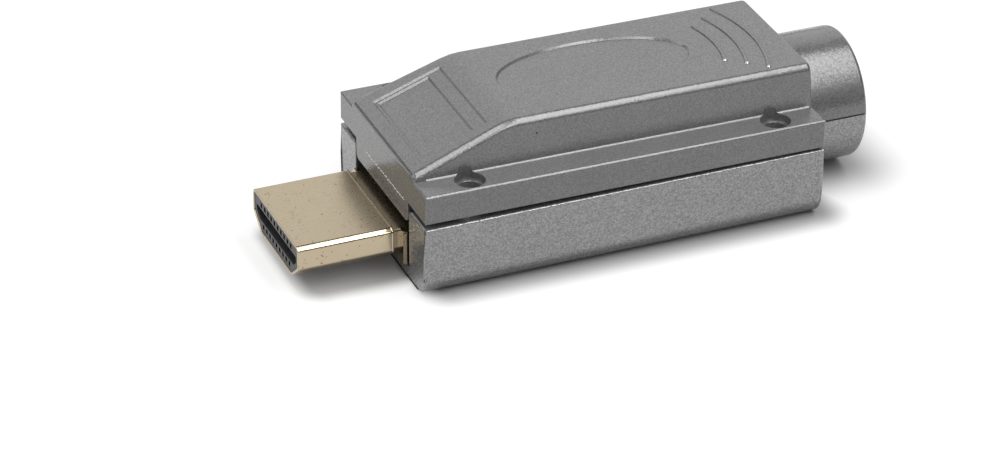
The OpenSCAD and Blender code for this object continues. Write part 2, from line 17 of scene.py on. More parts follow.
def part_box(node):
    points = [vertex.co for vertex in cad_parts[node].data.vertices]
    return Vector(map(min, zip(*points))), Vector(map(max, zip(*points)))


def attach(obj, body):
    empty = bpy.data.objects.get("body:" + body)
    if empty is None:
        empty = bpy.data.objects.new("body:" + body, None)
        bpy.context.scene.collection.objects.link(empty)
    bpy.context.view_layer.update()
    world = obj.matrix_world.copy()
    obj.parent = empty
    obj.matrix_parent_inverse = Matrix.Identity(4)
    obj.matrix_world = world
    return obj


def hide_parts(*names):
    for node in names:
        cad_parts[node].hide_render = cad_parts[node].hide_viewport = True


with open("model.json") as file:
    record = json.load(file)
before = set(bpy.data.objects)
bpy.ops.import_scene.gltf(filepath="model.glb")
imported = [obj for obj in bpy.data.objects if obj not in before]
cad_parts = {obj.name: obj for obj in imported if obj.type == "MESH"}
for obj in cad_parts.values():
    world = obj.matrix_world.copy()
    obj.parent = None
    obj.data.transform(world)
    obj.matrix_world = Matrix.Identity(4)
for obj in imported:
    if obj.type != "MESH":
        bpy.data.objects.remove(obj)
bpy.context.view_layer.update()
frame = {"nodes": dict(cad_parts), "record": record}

MM = 0.001
near_zero = 0.01 * MM
on_plane = 0.001 * MM
nodes = frame["nodes"]
print("solids in the frame:", len(nodes))

# %% [markdown]
# ## Where the camera stands
# The camera comes first, because every later choice is judged through it.
# A long lens from about 43 cm keeps the edges of the casting nearly parallel.
# The direction is given by an azimuth and an elevation, as on a globe, and by a slight roll.

# %% Camera
view_azimuth = math.radians(-22.711)
view_elevation = math.radians(30.490)
view_roll = math.radians(0.315)
view_distance = 428.289 * MM
view_aim = Vector((-7.983, -1.713, -0.252)) * MM
film_width, lens_length = 36, 144
nearest_seen = 10 * MM

level_right = Vector((math.cos(view_azimuth), math.sin(view_azimuth), 0))
away = Vector((
    math.sin(view_azimuth) * math.cos(view_elevation),
    -math.cos(view_azimuth) * math.cos(view_elevation),
    math.sin(view_elevation),
))
level_up = away.cross(level_right)
camera_right = level_right * math.cos(view_roll) + level_up * math.sin(view_roll)
camera_up = level_up * math.cos(view_roll) - level_right * math.sin(view_roll)

bpy.ops.object.select_all(action="DESELECT")
bpy.ops.object.camera_add()
camera = bpy.context.object
camera.name = "picture_camera"
camera.data.sensor_width = film_width
camera.data.lens = lens_length
camera.data.clip_start = nearest_seen
turn = Matrix((camera_right, camera_up, away)).transposed().to_4x4()
camera.matrix_world = Matrix.Translation(view_aim + away * view_distance) @ turn
bpy.context.scene.camera = camera
print("camera at", [round(v, 4) for v in camera.matrix_world.translation])

# %% [markdown]
# ## Working on one piece at a time
# Blender's operators act on whatever is selected. Two small helpers make that safe: one takes a
# single object in hand, the other selects parts of its mesh in edit mode by a rule on their
# place or normal. A face counts as facing a way from a set share of its normal on.

# %% Helpers for selecting
facing = 0.9


def take(piece):
    """Selects one object alone and makes it the active one."""
    bpy.ops.object.select_all(action="DESELECT")
    piece.select_set(True)
    bpy.context.view_layer.objects.active = piece


def pick(piece, kind, rule):
    """In edit mode, selects the faces, edges or vertices that a rule accepts, and counts them."""
    bpy.ops.mesh.select_mode(type=kind)
    bpy.ops.mesh.select_all(action="DESELECT")
    mesh = bmesh.from_edit_mesh(piece.data)
    group = {"VERT": mesh.verts, "EDGE": mesh.edges, "FACE": mesh.faces}[kind]
    group.ensure_lookup_table()
    chosen = [item for item in group if rule(item)]
    for item in chosen:
        item.select_set(True)
    mesh.select_flush_mode()
    bmesh.update_edit_mesh(piece.data)
    return len(chosen)


def middle(edge):
    """The point halfway along an edge."""
    return (edge.verts[0].co + edge.verts[1].co) / 2


def folded(edge, degrees):
    """True where two faces meet at more than an angle."""
    return len(edge.link_faces) == 2 and edge.calc_face_angle() > math.radians(degrees)


# %% [markdown]
# ## Shading that keeps flat faces flat
# A rounded edge is a strip of narrow facets. Smooth shading blends them, but it also drags the
# large flat faces beside them along. Weighted normals let the largest faces decide, so that
# flats stay flat and only the strip turns. Edges sharper than the angle stay crisp.

# %% Helper for shading


def shade(piece, degrees):
    """Smooth shading below an angle, with the normals led by the largest faces."""
    take(piece)
    bpy.ops.object.shade_smooth_by_angle(angle=math.radians(degrees), keep_sharp_edges=True)
    weigh = piece.modifiers.new("weighted_normals", "WEIGHTED_NORMAL")
    weigh.mode = "FACE_AREA"
    weigh.keep_sharp = True
    bpy.ops.object.modifier_apply(modifier=weigh.name)


# %% [markdown]
# ## The two castings
# A zinc casting has no knife edges: the mould, the tumbling and the paint round every one of
# them. The solids hold the form and the larger radii. A copy of each is welded, because a packed
# mesh is loose triangles, and its flat faces are joined again so that edges can be picked on it.
# The plated collar behind the nose is copied in the same way.

# %% Copies of the castings and the collar
flat_angle = math.radians(0.4)


def welded_copy(node, name):
    """A copy of a solid with its triangles welded and its flat faces joined."""
    piece = bpy.data.objects.new(name, nodes[node].data.copy())
    piece.data.name = name
    bpy.context.scene.collection.objects.link(piece)
    take(piece)
    bpy.ops.mesh.customdata_custom_splitnormals_clear()
    bpy.ops.object.mode_set(mode="EDIT")
    bpy.ops.mesh.select_all(action="SELECT")
    bpy.ops.mesh.remove_doubles(threshold=on_plane)
    bpy.ops.mesh.mark_sharp(clear=True)
    bpy.ops.mesh.dissolve_limited(angle_limit=flat_angle)
    bpy.ops.object.mode_set(mode="OBJECT")
    print(name, "has", len(piece.data.polygons), "faces")
    return piece


upper_casting = welded_copy("upper_shell", "upper_casting")
lower_casting = welded_copy("lower_shell", "lower_casting")
plug_flange = welded_copy("plug_collar", "plug_flange")

# %% [markdown]
# ## Worn rims of the screw holes
# On the real cover the rim of each counterbore, and of the hole in its floor, is broken by a
# small chamfer that catches the light as a thin crescent. The rims are circles of short edges,
# so they are picked by their distance from the hole's axis and by the sharp fold, and bevelled.

# %% Places of the screw holes
screws = next(m for m in frame["record"]["mounts"] if m["name"] == "case_screws")
screw_middle = Vector(screws["pos_m"])
half_x = screws["dims"]["spacing_x_mm"] * MM / 2
half_y = screws["dims"]["spacing_y_mm"] * MM / 2
hole_spots = [
    Vector((screw_middle.x + side_x * half_x, screw_middle.y + side_y * half_y))
    for side_x in (-1, 1) for side_y in (-1, 1)
]
casting_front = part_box("lower_shell")[0].x
front_ledge_z = 12.31 * MM
cover_tilt = math.radians(0.46)


def ledge_z(x):
    """Height of the loose cover's ledge, which falls slightly towards the rear."""
    return front_ledge_z - (x - casting_front) * math.tan(cover_tilt)


print("screw holes at", [[round(v / MM, 2) for v in spot] for spot in hole_spots], "mm")

# %% Rims of the counterbores
counterbore_r, clearance_r = 1.65 * MM, 1.2 * MM
counterbore_depth = 0.8 * MM
counterbore_chamfer, clearance_chamfer = 0.14 * MM, 0.12 * MM
rim_slack, level_slack = 0.06 * MM, 0.15 * MM
rim_fold = 50


def on_rim(edge, radius, depth):
    """True for an edge of a hole's rim, at some radius and depth below the ledge."""
    place = middle(edge)
    near = min((place.xy - spot).length for spot in hole_spots)
    level = abs(place.z - ledge_z(place.x) + depth) < level_slack
    return abs(near - radius) < rim_slack and level and folded(edge, rim_fold)


take(upper_casting)
bpy.ops.object.mode_set(mode="EDIT")
for radius, depth, width in (
    (counterbore_r, 0.0, counterbore_chamfer),
    (clearance_r, counterbore_depth, clearance_chamfer),
):
    found = pick(upper_casting, "EDGE", lambda edge: on_rim(edge, radius, depth))
    bpy.ops.mesh.bevel(offset=width, segments=3, affect="EDGES", clamp_overlap=True)
    print("rim edges bevelled:", found)

# %% [markdown]
# ## Soft arcs on the roof
# Three low arcs stand on the roof near the tube, as a grip and a pointer to the cable. The solids
# have them as shallow grooves. Here the floor of each groove is lifted through the roof, which
# turns the groove into a rib, and the rib's upper edges are rounded as the paint rounds them.
# The cover is still in edit mode, so the work goes straight on.

# %% Ribs from the grooves
roof_fall = 0.9 * MM
roof_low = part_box("upper_shell")[1].z - roof_fall
arcs_from, inside_roof = 9.0 * MM, 7.9 * MM
groove_depth, rib_height, rib_round = 0.2 * MM, 0.15 * MM, 0.12 * MM
groove_fold = 60


def on_arcs(place):
    """True on the flat of the roof where the arcs lie."""
    return place.x > arcs_from and abs(place.y) < inside_roof and place.z > roof_low


def groove_floor(face):
    """True for the floor of a groove, which has a wall all around."""
    level = on_arcs(face.calc_center_median()) and face.normal.z > facing
    return level and all(folded(edge, groove_fold) for edge in face.edges)


found = pick(upper_casting, "FACE", groove_floor)
bpy.ops.transform.translate(value=(0, 0, groove_depth + rib_height))
bpy.ops.mesh.region_to_loop()
bpy.ops.mesh.bevel(offset=rib_round, segments=4, affect="EDGES", clamp_overlap=True)
print("ribs on the roof:", found)

# %% [markdown]
# ## A crisp oval
# The oval in the roof is a shallow dish with a narrow, steep border that catches the light along
# its far side. The border of the solid is wider and flatter, so the dish's floor is stretched
# outwards under the rim. Smooth shading would blend the border into the roof, so its edges are
# marked sharp.

# %% Outline of the oval
oval_middle = 3.3 * MM
oval_half_x, oval_half_y = 10.9 * MM, 5.7 * MM
floor_stretch = (1.07, 1.045, 1)
floor_level, floor_corners, floor_slack = 0.99, 20, 1 * MM
border_fold = 8


def in_oval(place):
    """True on the roof within the oval and its border."""
    inside = abs(place.x - oval_middle) < oval_half_x and abs(place.y) < oval_half_y
    return inside and place.z > roof_low


def oval_floor(face):
    """True for the floor of the dish: one level face with many corners around the middle."""
    place = face.calc_center_median()
    central = in_oval(place) and abs(place.x - oval_middle) < floor_slack
    return central and face.normal.z > floor_level and len(face.edges) > floor_corners


found = pick(upper_casting, "FACE", oval_floor)
bpy.ops.transform.resize(value=floor_stretch, center_override=(oval_middle, 0, 0))
print("floors of the oval:", found)
found = pick(
    upper_casting, "EDGE", lambda edge: in_oval(middle(edge)) and folded(edge, border_fold),
)
bpy.ops.mesh.mark_sharp()
bpy.ops.object.mode_set(mode="OBJECT")
print("oval edges kept sharp:", found)

# %% [markdown]
# ## Corners worn by tumbling
# The corners of the lower casting, the edges of its notch and the outline of the tongue that
# hangs into it are slightly round on the real part. They are sharp in the solids, so their edges
# are picked by place and bevelled. The bevels may pass short neighbour edges, so the overlap
# clamp stays off.

# %% Edges at the ends of the castings
casting_rear = 25.0 * MM
end_slack = 0.2 * MM
corner_from, corner_top, corner_round = 10.2 * MM, 7.5 * MM, 0.28 * MM
notch_reach, tongue_top, lip_round = 8.2 * MM, 9.0 * MM, 0.12 * MM
tongue_front = casting_front + 0.05 * MM
worn_fold = 35


def soften(piece, rule, width, segments=3):
    """Bevels the convex folded edges of a piece that a rule on their middle accepts."""
    take(piece)
    bpy.ops.object.mode_set(mode="EDIT")
    count = pick(
        piece, "EDGE",
        lambda edge: folded(edge, worn_fold) and edge.is_convex and rule(middle(edge)),
    )
    if count:
        bpy.ops.mesh.bevel(offset=width, segments=segments, affect="EDGES", clamp_overlap=False)
    bpy.ops.object.mode_set(mode="OBJECT")
    print(piece.name, "edges softened:", count)


def at_a_corner(place):
    """True on the upright corners of the lower casting, at its front and its rear."""
    at_an_end = min(abs(place.x - end) for end in (casting_front, casting_rear)) < end_slack
    return at_an_end and abs(place.y) > corner_from and place.z < corner_top


def at_the_notch(place):
    """True on the outline of the notch, in the front face."""
    return abs(place.x - casting_front) < near_zero and abs(place.y) < notch_reach


def at_the_tongue(place):
    """True on the outline of the tongue, in the front face."""
    return place.x < tongue_front and place.z < tongue_top


soften(lower_casting, at_a_corner, corner_round, 4)
soften(lower_casting, at_the_notch, lip_round)
soften(upper_casting, at_the_tongue, lip_round)

# %% Shading of the castings
casting_angle = 18
flange_angle = 30
shade(upper_casting, casting_angle)
shade(lower_casting, casting_angle)
shade(plug_flange, flange_angle)
for piece, node, slot in (
    (upper_casting, "upper_shell", "shell_paint"),
    (lower_casting, "lower_shell", "shell_paint"),
    (plug_flange, "plug_collar", "plug_plating"),
):
    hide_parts(node)
    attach(piece, "root")
    print(piece.name, "takes the place of", node)

# %% [markdown]
# ## The sheet-metal sleeve
# The plug's nose is a strip of plated sheet, folded round into a tube with a seam underneath. Its
# section is a wide top, upright sides and slanted cheeks that lead to a narrow bottom.
# It could be a copy of the solid too, but sheet metal lives from its even wall and its soft
# folds. So it is folded here as by hand: a block at the sleeve's size, its ends taken off, its
# foot drawn in, its long edges rounded and its wall thickened inwards.

# %% Block with open ends
sleeve_low, sleeve_high = (Vector(corner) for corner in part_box("plug_shell"))
bead_rise = 0.1 * MM
sleeve_low += Vector((0, bead_rise, bead_rise))
sleeve_high -= Vector((0, bead_rise, bead_rise))
sleeve_size = sleeve_high - sleeve_low
sleeve_middle = (sleeve_high + sleeve_low) / 2

bpy.ops.object.select_all(action="DESELECT")
bpy.ops.mesh.primitive_cube_add(size=1, location=sleeve_middle, scale=sleeve_size)
sleeve = bpy.context.object
sleeve.name = "plug_sleeve"
sleeve.data.name = "plug_sleeve"
bpy.ops.object.transform_apply(location=True, rotation=True, scale=True)
bpy.ops.object.mode_set(mode="EDIT")
ends = pick(sleeve, "FACE", lambda face: abs(face.normal.x) > facing)
bpy.ops.mesh.delete(type="ONLY_FACE")
print("sleeve", [round(v / MM, 2) for v in sleeve_size], "mm, open ends:", ends)

# %% Cheeks and folds
upright = 2.65 * MM
foot_share = 9.54 / 13.9
shoulder_z = sleeve_high.z - upright
top_fold, shoulder_fold, foot_fold = 0.65 * MM, 0.28 * MM, 0.25 * MM
long_run, off_middle = 1 * MM, 1 * MM

bpy.ops.mesh.select_all(action="SELECT")
bpy.ops.mesh.bisect(plane_co=(0, 0, shoulder_z), plane_no=(0, 0, 1), threshold=on_plane)
pick(sleeve, "VERT", lambda vert: vert.co.z < sleeve_low.z + near_zero)
bpy.ops.transform.resize(value=(1, foot_share, 1), center_override=(0, 0, sleeve_low.z))


def long_edge_at(height):
    """A rule for the edges along the sleeve at one height, at its two sides."""
    def rule(edge):
        first, second = (vert.co for vert in edge.verts)
        place = middle(edge)
        along = abs(first.x - second.x) > long_run
        return along and abs(place.z - height) < near_zero and abs(place.y) > off_middle
    return rule


for height, reach in (
    (sleeve_high.z, top_fold), (shoulder_z, shoulder_fold), (sleeve_low.z, foot_fold),
):
    folds = pick(sleeve, "EDGE", long_edge_at(height))
    bpy.ops.mesh.bevel(offset=reach, segments=8, affect="EDGES")
    print("folds at", round(height / MM, 2), "mm:", folds)

# %% Wall of even thickness
sheet = 0.3 * MM
bpy.ops.object.mode_set(mode="OBJECT")
wall = sleeve.modifiers.new("sheet", "SOLIDIFY")
wall.thickness = sheet
wall.offset = -1
wall.use_even_offset = True
bpy.ops.object.modifier_apply(modifier=wall.name)
print("sleeve with its wall:", len(sleeve.data.polygons), "faces")

# %% [markdown]
# ## Mouth, bead and seam of the sleeve
# The cut edge at the mouth is broken slightly, which draws a bright line around it. At the rear
# the sheet ends in a low bead that stops the collar. Underneath, the two ends of the strip meet
# in a fine seam.

# %% Broken edge at the mouth
mouth_edge = 0.08 * MM
mouth_fold = 60
bpy.ops.object.mode_set(mode="EDIT")
found = pick(
    sleeve, "EDGE",
    lambda edge: middle(edge).x < sleeve_low.x + near_zero and folded(edge, mouth_fold),
)
bpy.ops.mesh.bevel(offset=mouth_edge, segments=3, affect="EDGES")
print("edges broken at the mouth:", found)

# %% Bead at the rear
bead_length, bead_edge = 0.25 * MM, 0.05 * MM
bead_x = sleeve_high.x - bead_length
endwise = 0.5
bpy.ops.mesh.select_all(action="SELECT")
bpy.ops.mesh.bisect(plane_co=(bead_x, 0, 0), plane_no=(1, 0, 0), threshold=on_plane)


def on_bead(face):
    """True for the outer faces of the last stretch of the sleeve."""
    place = face.calc_center_median()
    outwards = Vector((0, place.y, place.z - sleeve_middle.z))
    around = place.x > bead_x and abs(face.normal.x) < endwise
    return around and face.normal.dot(outwards) > 0


found = pick(sleeve, "FACE", on_bead)
bpy.ops.mesh.extrude_region_shrink_fatten(
    TRANSFORM_OT_shrink_fatten={"value": bead_rise, "use_even_offset": True},
)
bpy.ops.mesh.region_to_loop()
bpy.ops.mesh.bevel(offset=bead_edge, segments=2, affect="EDGES")
print("bead faces:", found)

# %% Seam underneath
seam_half, seam_depth = 0.05 * MM, 0.12 * MM
for seam_y in (-seam_half, seam_half):
    bpy.ops.mesh.select_all(action="SELECT")
    bpy.ops.mesh.bisect(plane_co=(0, seam_y, 0), plane_no=(0, 1, 0), threshold=on_plane)


def on_seam(face):
    """True for the narrow strip between the two cuts, on the outside of the bottom."""
    place = face.calc_center_median()
    below = face.normal.z < -facing and place.z < sleeve_low.z + near_zero
    return below and abs(place.y) < seam_half


found = pick(sleeve, "FACE", on_seam)
bpy.ops.mesh.extrude_region_move(TRANSFORM_OT_translate={"value": (0, 0, seam_depth)})
bpy.ops.object.mode_set(mode="OBJECT")
print("seam faces:", found)

# %% Shading of the sleeve
sleeve_angle = 30
shade(sleeve, sleeve_angle)
sleeve_corners = (sleeve.bound_box[0], sleeve.bound_box[6])
print("sleeve box in mm:", [[round(v / MM, 2) for v in corner] for corner in sleeve_corners])
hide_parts("plug_shell")
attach(sleeve, "root")

# %% [markdown]
# ## Flash on the tongue and tips of the ribs
# Where the halves of the mould met, a trace of flash is left across the tongue. The paint has
# worn off it, so it is a row of tiny bright lumps. The three ribs on the roof end in small bright
# domes in the same way. Each is half of a stretched ball. One is modelled, and copies of
# differing size are joined into one piece that sits on its face.

# %% Half of a ball, and copies of it
sunk = 0.02 * MM
lump_angle = 40


def half_ball(radius, stretch, inwards):
    """Half of a stretched ball at the origin, its flat side just inside the face it sits on."""
    bpy.ops.object.select_all(action="DESELECT")
    bpy.ops.mesh.primitive_ico_sphere_add(subdivisions=3, radius=radius)
    ball = bpy.context.object
    bpy.ops.object.mode_set(mode="EDIT")
    bpy.ops.mesh.select_all(action="SELECT")
    bpy.ops.transform.resize(value=stretch, center_override=(0, 0, 0))
    bpy.ops.mesh.bisect(
        plane_co=Vector(inwards) * sunk, plane_no=inwards,
        use_fill=True, clear_outer=True, threshold=on_plane,
    )
    bpy.ops.object.mode_set(mode="OBJECT")
    return ball


def seat_copies(ball, seats, name):
    """Joins copies of a ball into one piece, each at its own place and size."""
    copies = []
    for place, share in seats:
        one = bpy.data.objects.new(name, ball.data.copy())
        one.data.transform(Matrix.Translation(place) @ Matrix.Scale(share, 4))
        bpy.context.scene.collection.objects.link(one)
        copies.append(one)
    bpy.data.objects.remove(ball)
    take(copies[0])
    for one in copies:
        one.select_set(True)
    bpy.ops.object.join()
    joined = bpy.context.object
    joined.name = name
    joined.data.name = name
    shade(joined, lump_angle)
    print(name, "has", len(seats), "lumps")
    return joined


# %% Flash across the tongue
flash_z = 8.95 * MM
flash_start, flash_step, lump_count = 4.4 * MM, 0.25 * MM, 44
flash_wander, wander_beat = 0.04 * MM, 1.7
lump_share, share_swing, share_beat = 0.75, 0.25, 2.3
lump_r, lump_stretch = 0.1 * MM, (0.8, 1.3, 1.0)
rearwards = (1, 0, 0)

flash_seats = []
for index in range(lump_count):
    wander = flash_wander * math.sin(wander_beat * index)
    place = Vector((casting_front, flash_start - index * flash_step, flash_z + wander))
    flash_seats.append((place, lump_share + share_swing * math.sin(share_beat * index)))
lump = half_ball(lump_r, lump_stretch, rearwards)
tongue_flash = seat_copies(lump, flash_seats, "tongue_flash")
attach(tongue_flash, "root")

# %% Domes at the near ends of the ribs
rib_ends = ((16.83, -4.25, 16.71), (18.77, -5.65, 16.694), (20.53, -7.25, 16.68))
tip_r, tip_stretch = 0.26 * MM, (1.0, 1.0, 0.8)
downwards = (0, 0, -1)

tip_seats = [(Vector(end) * MM, 1.0) for end in rib_ends]
rib_tips = seat_copies(half_ball(tip_r, tip_stretch, downwards), tip_seats, "rib_tips")
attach(rib_tips, "root")

# %% [markdown]
# ## Shader maths as plain expressions
# Node trees are easier to read as formulas. This small class stands for one output of a node, and
# the usual operators on it add Math nodes. Every other node is made by one method.

# %% Shader wiring


class Wire:
    """One output of a shader node. Operators on it add Math nodes."""

    def __init__(self, tree, socket):
        self.tree = tree
        self.socket = socket

    @classmethod
    def node(cls, tree, kind, settings=None, inputs=None, output=0):
        """Adds a node: its settings first, then values or wires for its sockets."""
        made = tree.nodes.new(kind)
        for name, value in (settings or {}).items():
            setattr(made, name, value)
        for name, value in (inputs or {}).items():
            if isinstance(value, Wire):
                tree.links.new(value.socket, made.inputs[name])
            else:
                made.inputs[name].default_value = value
        return cls(tree, made.outputs[output])

    def math(self, operation, other=0.0, swapped=False):
        """A Math node on this wire and another value, in this order or swapped."""
        first, second = (other, self) if swapped else (self, other)
        return Wire.node(
            self.tree, "ShaderNodeMath", {"operation": operation}, {0: first, 1: second},
        )

    def vector(self, operation, other=None, scale=None):
        """A Vector Math node on this wire, with a second vector or a scale."""
        inputs = {0: self}
        if other is not None:
            inputs[1] = other
        if scale is not None:
            inputs["Scale"] = scale
        output = "Value" if operation == "DISTANCE" else "Vector"
        return Wire.node(
            self.tree, "ShaderNodeVectorMath", {"operation": operation}, inputs, output,
        )

    def between(self, low, high):
        """Maps a stretch of values softly to 0 at its low end and 1 at its high end."""
        return Wire.node(
            self.tree, "ShaderNodeMapRange", {"interpolation_type": "SMOOTHSTEP"},
            {"Value": self, "From Min": low, "From Max": high}, "Result",
        )

    def tint(self, low, high):
        """Mixes two colours by this wire: low at 0 and high at 1."""
        low, high = ((*c, 1) if isinstance(c, tuple) else c for c in (low, high))
        return Wire.node(
            self.tree, "ShaderNodeMix", {"data_type": "RGBA"},
            {"Factor": self, "A": low, "B": high}, "Result",
        )

    def __add__(self, other):
        return self.math("ADD", other)

    def __radd__(self, other):
        return self.math("ADD", other, swapped=True)

    def __sub__(self, other):
        return self.math("SUBTRACT", other)

    def __rsub__(self, other):
        return self.math("SUBTRACT", other, swapped=True)

    def __mul__(self, other):
        return self.math("MULTIPLY", other)

    def __rmul__(self, other):
        return self.math("MULTIPLY", other, swapped=True)


# %% Start of every finish


def new_finish(name, **constants):
    """A material with one Principled shader, and the wire of its Object coordinates."""
    material = bpy.data.materials.new(name)
    material.use_nodes = True
    tree = material.node_tree
    shader = tree.nodes["Principled BSDF"]
    for socket, value in constants.items():
        shader.inputs[socket.replace("_", " ")].default_value = value
    place = Wire.node(tree, "ShaderNodeTexCoord", output="Object")
    print("finish started:", name)
    return material, tree, shader, place


def feed(shader, socket, wire):
    """Leads a wire into one socket of the shader."""
    wire.tree.links.new(wire.socket, shader.inputs[socket])


# %% Clouds and grains


def noise(tree, place, size, detail=2.0):
    """Cloudy noise whose blotches are about one size, in metres."""
    return Wire.node(
        tree, "ShaderNodeTexNoise", None,
        {"Vector": place, "Scale": 1 / size, "Detail": detail}, "Fac",
    )


def grains(tree, place, size):
    """One random colour for each small cell of a size, as for flakes or grains."""
    return Wire.node(
        tree, "ShaderNodeTexVoronoi", {"feature": "F1"},
        {"Vector": place, "Scale": 1 / size}, "Color",
    )


def one_of(colour, channel="Red"):
    """One channel of a colour, as a number."""
    return Wire.node(colour.tree, "ShaderNodeSeparateColor", None, {"Color": colour}, channel)


def along_axis(place, axis):
    """One coordinate of a place."""
    return Wire.node(place.tree, "ShaderNodeSeparateXYZ", None, {"Vector": place}, axis)


# %% [markdown]
# ## Silver paint
# The paint is a grey lacquer full of fine aluminium flakes. Up close it looks grainy, because
# each flake lies at its own angle. Tiny cells give every flake its own grey, and lean its normal
# a little to one side, so that some flakes flash and their neighbours stay dull. A few dark
# specks of dust sit in the lacquer. The flash and the rib tips are worn almost to the metal.

# %% Paint of the castings
paint_cloud = 5 * MM
flake_part, cloud_part = 0.8, 0.2
flake_gloss, gloss_swing = 0.17, 0.10
dust_grey, dust_core = (0.015, 0.015, 0.015), 0.6
half_colour = (0.5, 0.5, 0.5)


def silver_paint(name, grey, grain, flake_size, lean, metal, specks=()):
    """Flake lacquer: its grey, how flakes differ, their size and lean, the metal, and dust."""
    material, tree, shader, place = new_finish(name, Metallic=metal)
    flakes = grains(tree, place, flake_size)
    flake = one_of(flakes)
    cloud = noise(tree, place, paint_cloud)
    tone = flake * flake_part + cloud * cloud_part
    low = tuple([grey * (1 - grain)] * 3)
    high = tuple([grey * (1 + grain)] * 3)
    lacquer = tone.tint(low, high)
    for speck, radius in specks:
        clear = place.vector("DISTANCE", speck).between(dust_core * radius, radius)
        lacquer = clear.tint(dust_grey, lacquer)
    feed(shader, "Base Color", lacquer)
    feed(shader, "Roughness", flake_gloss + gloss_swing * flake)
    normal = Wire.node(tree, "ShaderNodeNewGeometry", output="Normal")
    off_axis = flakes.vector("SUBTRACT", half_colour).vector("SCALE", scale=lean)
    feed(shader, "Normal", normal.vector("ADD", off_axis).vector("NORMALIZE"))
    return material


dust_specks = (
    (Vector((-6.80, -8.68, 15.10)) * MM, 0.14 * MM),
    (Vector((4.50, -8.30, 16.49)) * MM, 0.09 * MM),
    (Vector((31.49, -0.05, 15.09)) * MM, 0.11 * MM),
    (Vector((-2.83, -4.66, 16.87)) * MM, 0.09 * MM),
)
# The cover's paint is set much darker than the base's. Its finer grain and part of the darkness
# are the cover's own. The rest is painted shade, standing in for dark reflections on the cover's
# upright sides.
upper_paint_with_painted_shade = silver_paint(
    "silver_paint_upper_painted_shade", grey=0.160, grain=0.30, flake_size=0.10 * MM, lean=0.10, metal=0.42,
    specks=dust_specks,
)
lower_paint = silver_paint(
    "silver_paint_lower", grey=0.255, grain=0.38, flake_size=0.13 * MM, lean=0.20, metal=0.62,
)
worn_paint = silver_paint(
    "worn_silver_paint", grey=0.55, grain=0.20, flake_size=0.10 * MM, lean=0.08, metal=0.95,
)

# %% [markdown]
# ## Plating
# The sleeve and its collar are plated a pale, satin gold, almost champagne. The plating is not a
# mirror: it has a fine matt grain and small brownish specks where it is thin. Folding smoothed
# the sheet at its sides, so they shine more. The contacts inside are a richer, brighter gold, and
# the clamps and screws are tinned.

# %% Plated metals
plating_cloud, cloud_detail = 0.9 * MM, 3.0
speck_size = 0.16 * MM
thin_from, thin_to = 0.42, 0.62
speck_stain, cloud_stain = 0.75, 0.12
grain_matt, thin_matt = 0.10, 0.10
side_shine, shine_blend = 0.13, 0.2 * MM


def plating(name, colour, speck_colour, roughness, grain_size, speck_share, smooth_from=None):
    """A plated metal: grain in its gloss, specks, and smoother sides beyond a half width."""
    material, tree, shader, place = new_finish(name, Metallic=1.0)
    grain = one_of(grains(tree, place, grain_size))
    cloud = noise(tree, place, plating_cloud, cloud_detail)
    speck_cell = one_of(grains(tree, place, speck_size), "Blue")
    speck = speck_cell.between(1 - speck_share, 1 - speck_share / 2)
    thin = speck * cloud.between(thin_from, thin_to)
    stain = speck_stain * thin + cloud_stain * cloud
    feed(shader, "Base Color", stain.tint(colour, speck_colour))
    gloss = roughness - grain_matt / 2 + grain_matt * grain + thin_matt * thin
    if smooth_from:
        half_width = along_axis(place, "Y").math("ABSOLUTE")
        gloss = gloss - side_shine * half_width.between(smooth_from, smooth_from + shine_blend)
    feed(shader, "Roughness", gloss)
    return material


champagne = plating(
    "champagne_plating", colour=(0.49, 0.412, 0.295), speck_colour=(0.23, 0.16, 0.09),
    roughness=0.27, grain_size=0.06 * MM, speck_share=0.06, smooth_from=6.3 * MM,
)
bright_gold = plating(
    "contact_gold", colour=(0.85, 0.66, 0.32), speck_colour=(0.55, 0.36, 0.14),
    roughness=0.22, grain_size=0.05 * MM, speck_share=0.04,
)
tin = plating(
    "bright_tin", colour=(0.72, 0.72, 0.70), speck_colour=(0.50, 0.50, 0.48),
    roughness=0.30, grain_size=0.08 * MM, speck_share=0.06,
)

# %% [markdown]
# ## Plastics and the board
# The insulator in the nose is a black, glass-filled plastic with a slightly uneven gloss. The
# terminal blocks are green nylon. The board is green lacquer over woven glass, and the weave just
# shows.

# %% Moulded plastics
plastic_cloud = 1.2 * MM
grain_part, blotch_part, grain_dark = 0.6, 0.4, 0.72
plastic_matt = 0.12
mould_strength, mould_depth = 0.3, 0.01 * MM


def moulded(name, colour, roughness, grain_size):
    """A moulded plastic: fine grain in colour and gloss, and a faint texture of the mould."""
    material, tree, shader, place = new_finish(name)
    grain = one_of(grains(tree, place, grain_size))
    cloud = noise(tree, place, plastic_cloud)
    darker = tuple(grain_dark * c for c in colour)
    feed(shader, "Base Color", (grain_part * grain + blotch_part * cloud).tint(darker, colour))
    feed(shader, "Roughness", roughness - plastic_matt / 2 + plastic_matt * cloud)
    bump = Wire.node(
        tree, "ShaderNodeBump", None,
        {"Strength": mould_strength, "Distance": mould_depth, "Height": grain}, "Normal",
    )
    feed(shader, "Normal", bump)
    return material


core_plastic = moulded(
    "core_plastic", colour=(0.04, 0.04, 0.043), roughness=0.45, grain_size=0.07 * MM,
)
block_plastic = moulded(
    "terminal_plastic", colour=(0.05, 0.28, 0.09), roughness=0.42, grain_size=0.10 * MM,
)

# %% Lacquered board
weave_light = 1.35
lacquer_gloss, weave_matt = 0.34, 0.08


def board_lacquer(name, colour, weave_scale):
    """Green solder lacquer with the glass weave showing through."""
    material, tree, shader, place = new_finish(name)
    warp, weft = (
        Wire.node(
            tree, "ShaderNodeTexWave", {"bands_direction": direction},
            {"Vector": place, "Scale": weave_scale}, "Fac",
        )
        for direction in ("X", "Y")
    )
    woven = warp * weft
    lighter = tuple(weave_light * c for c in colour)
    feed(shader, "Base Color", woven.tint(colour, lighter))
    feed(shader, "Roughness", lacquer_gloss + weave_matt * woven)
    return material


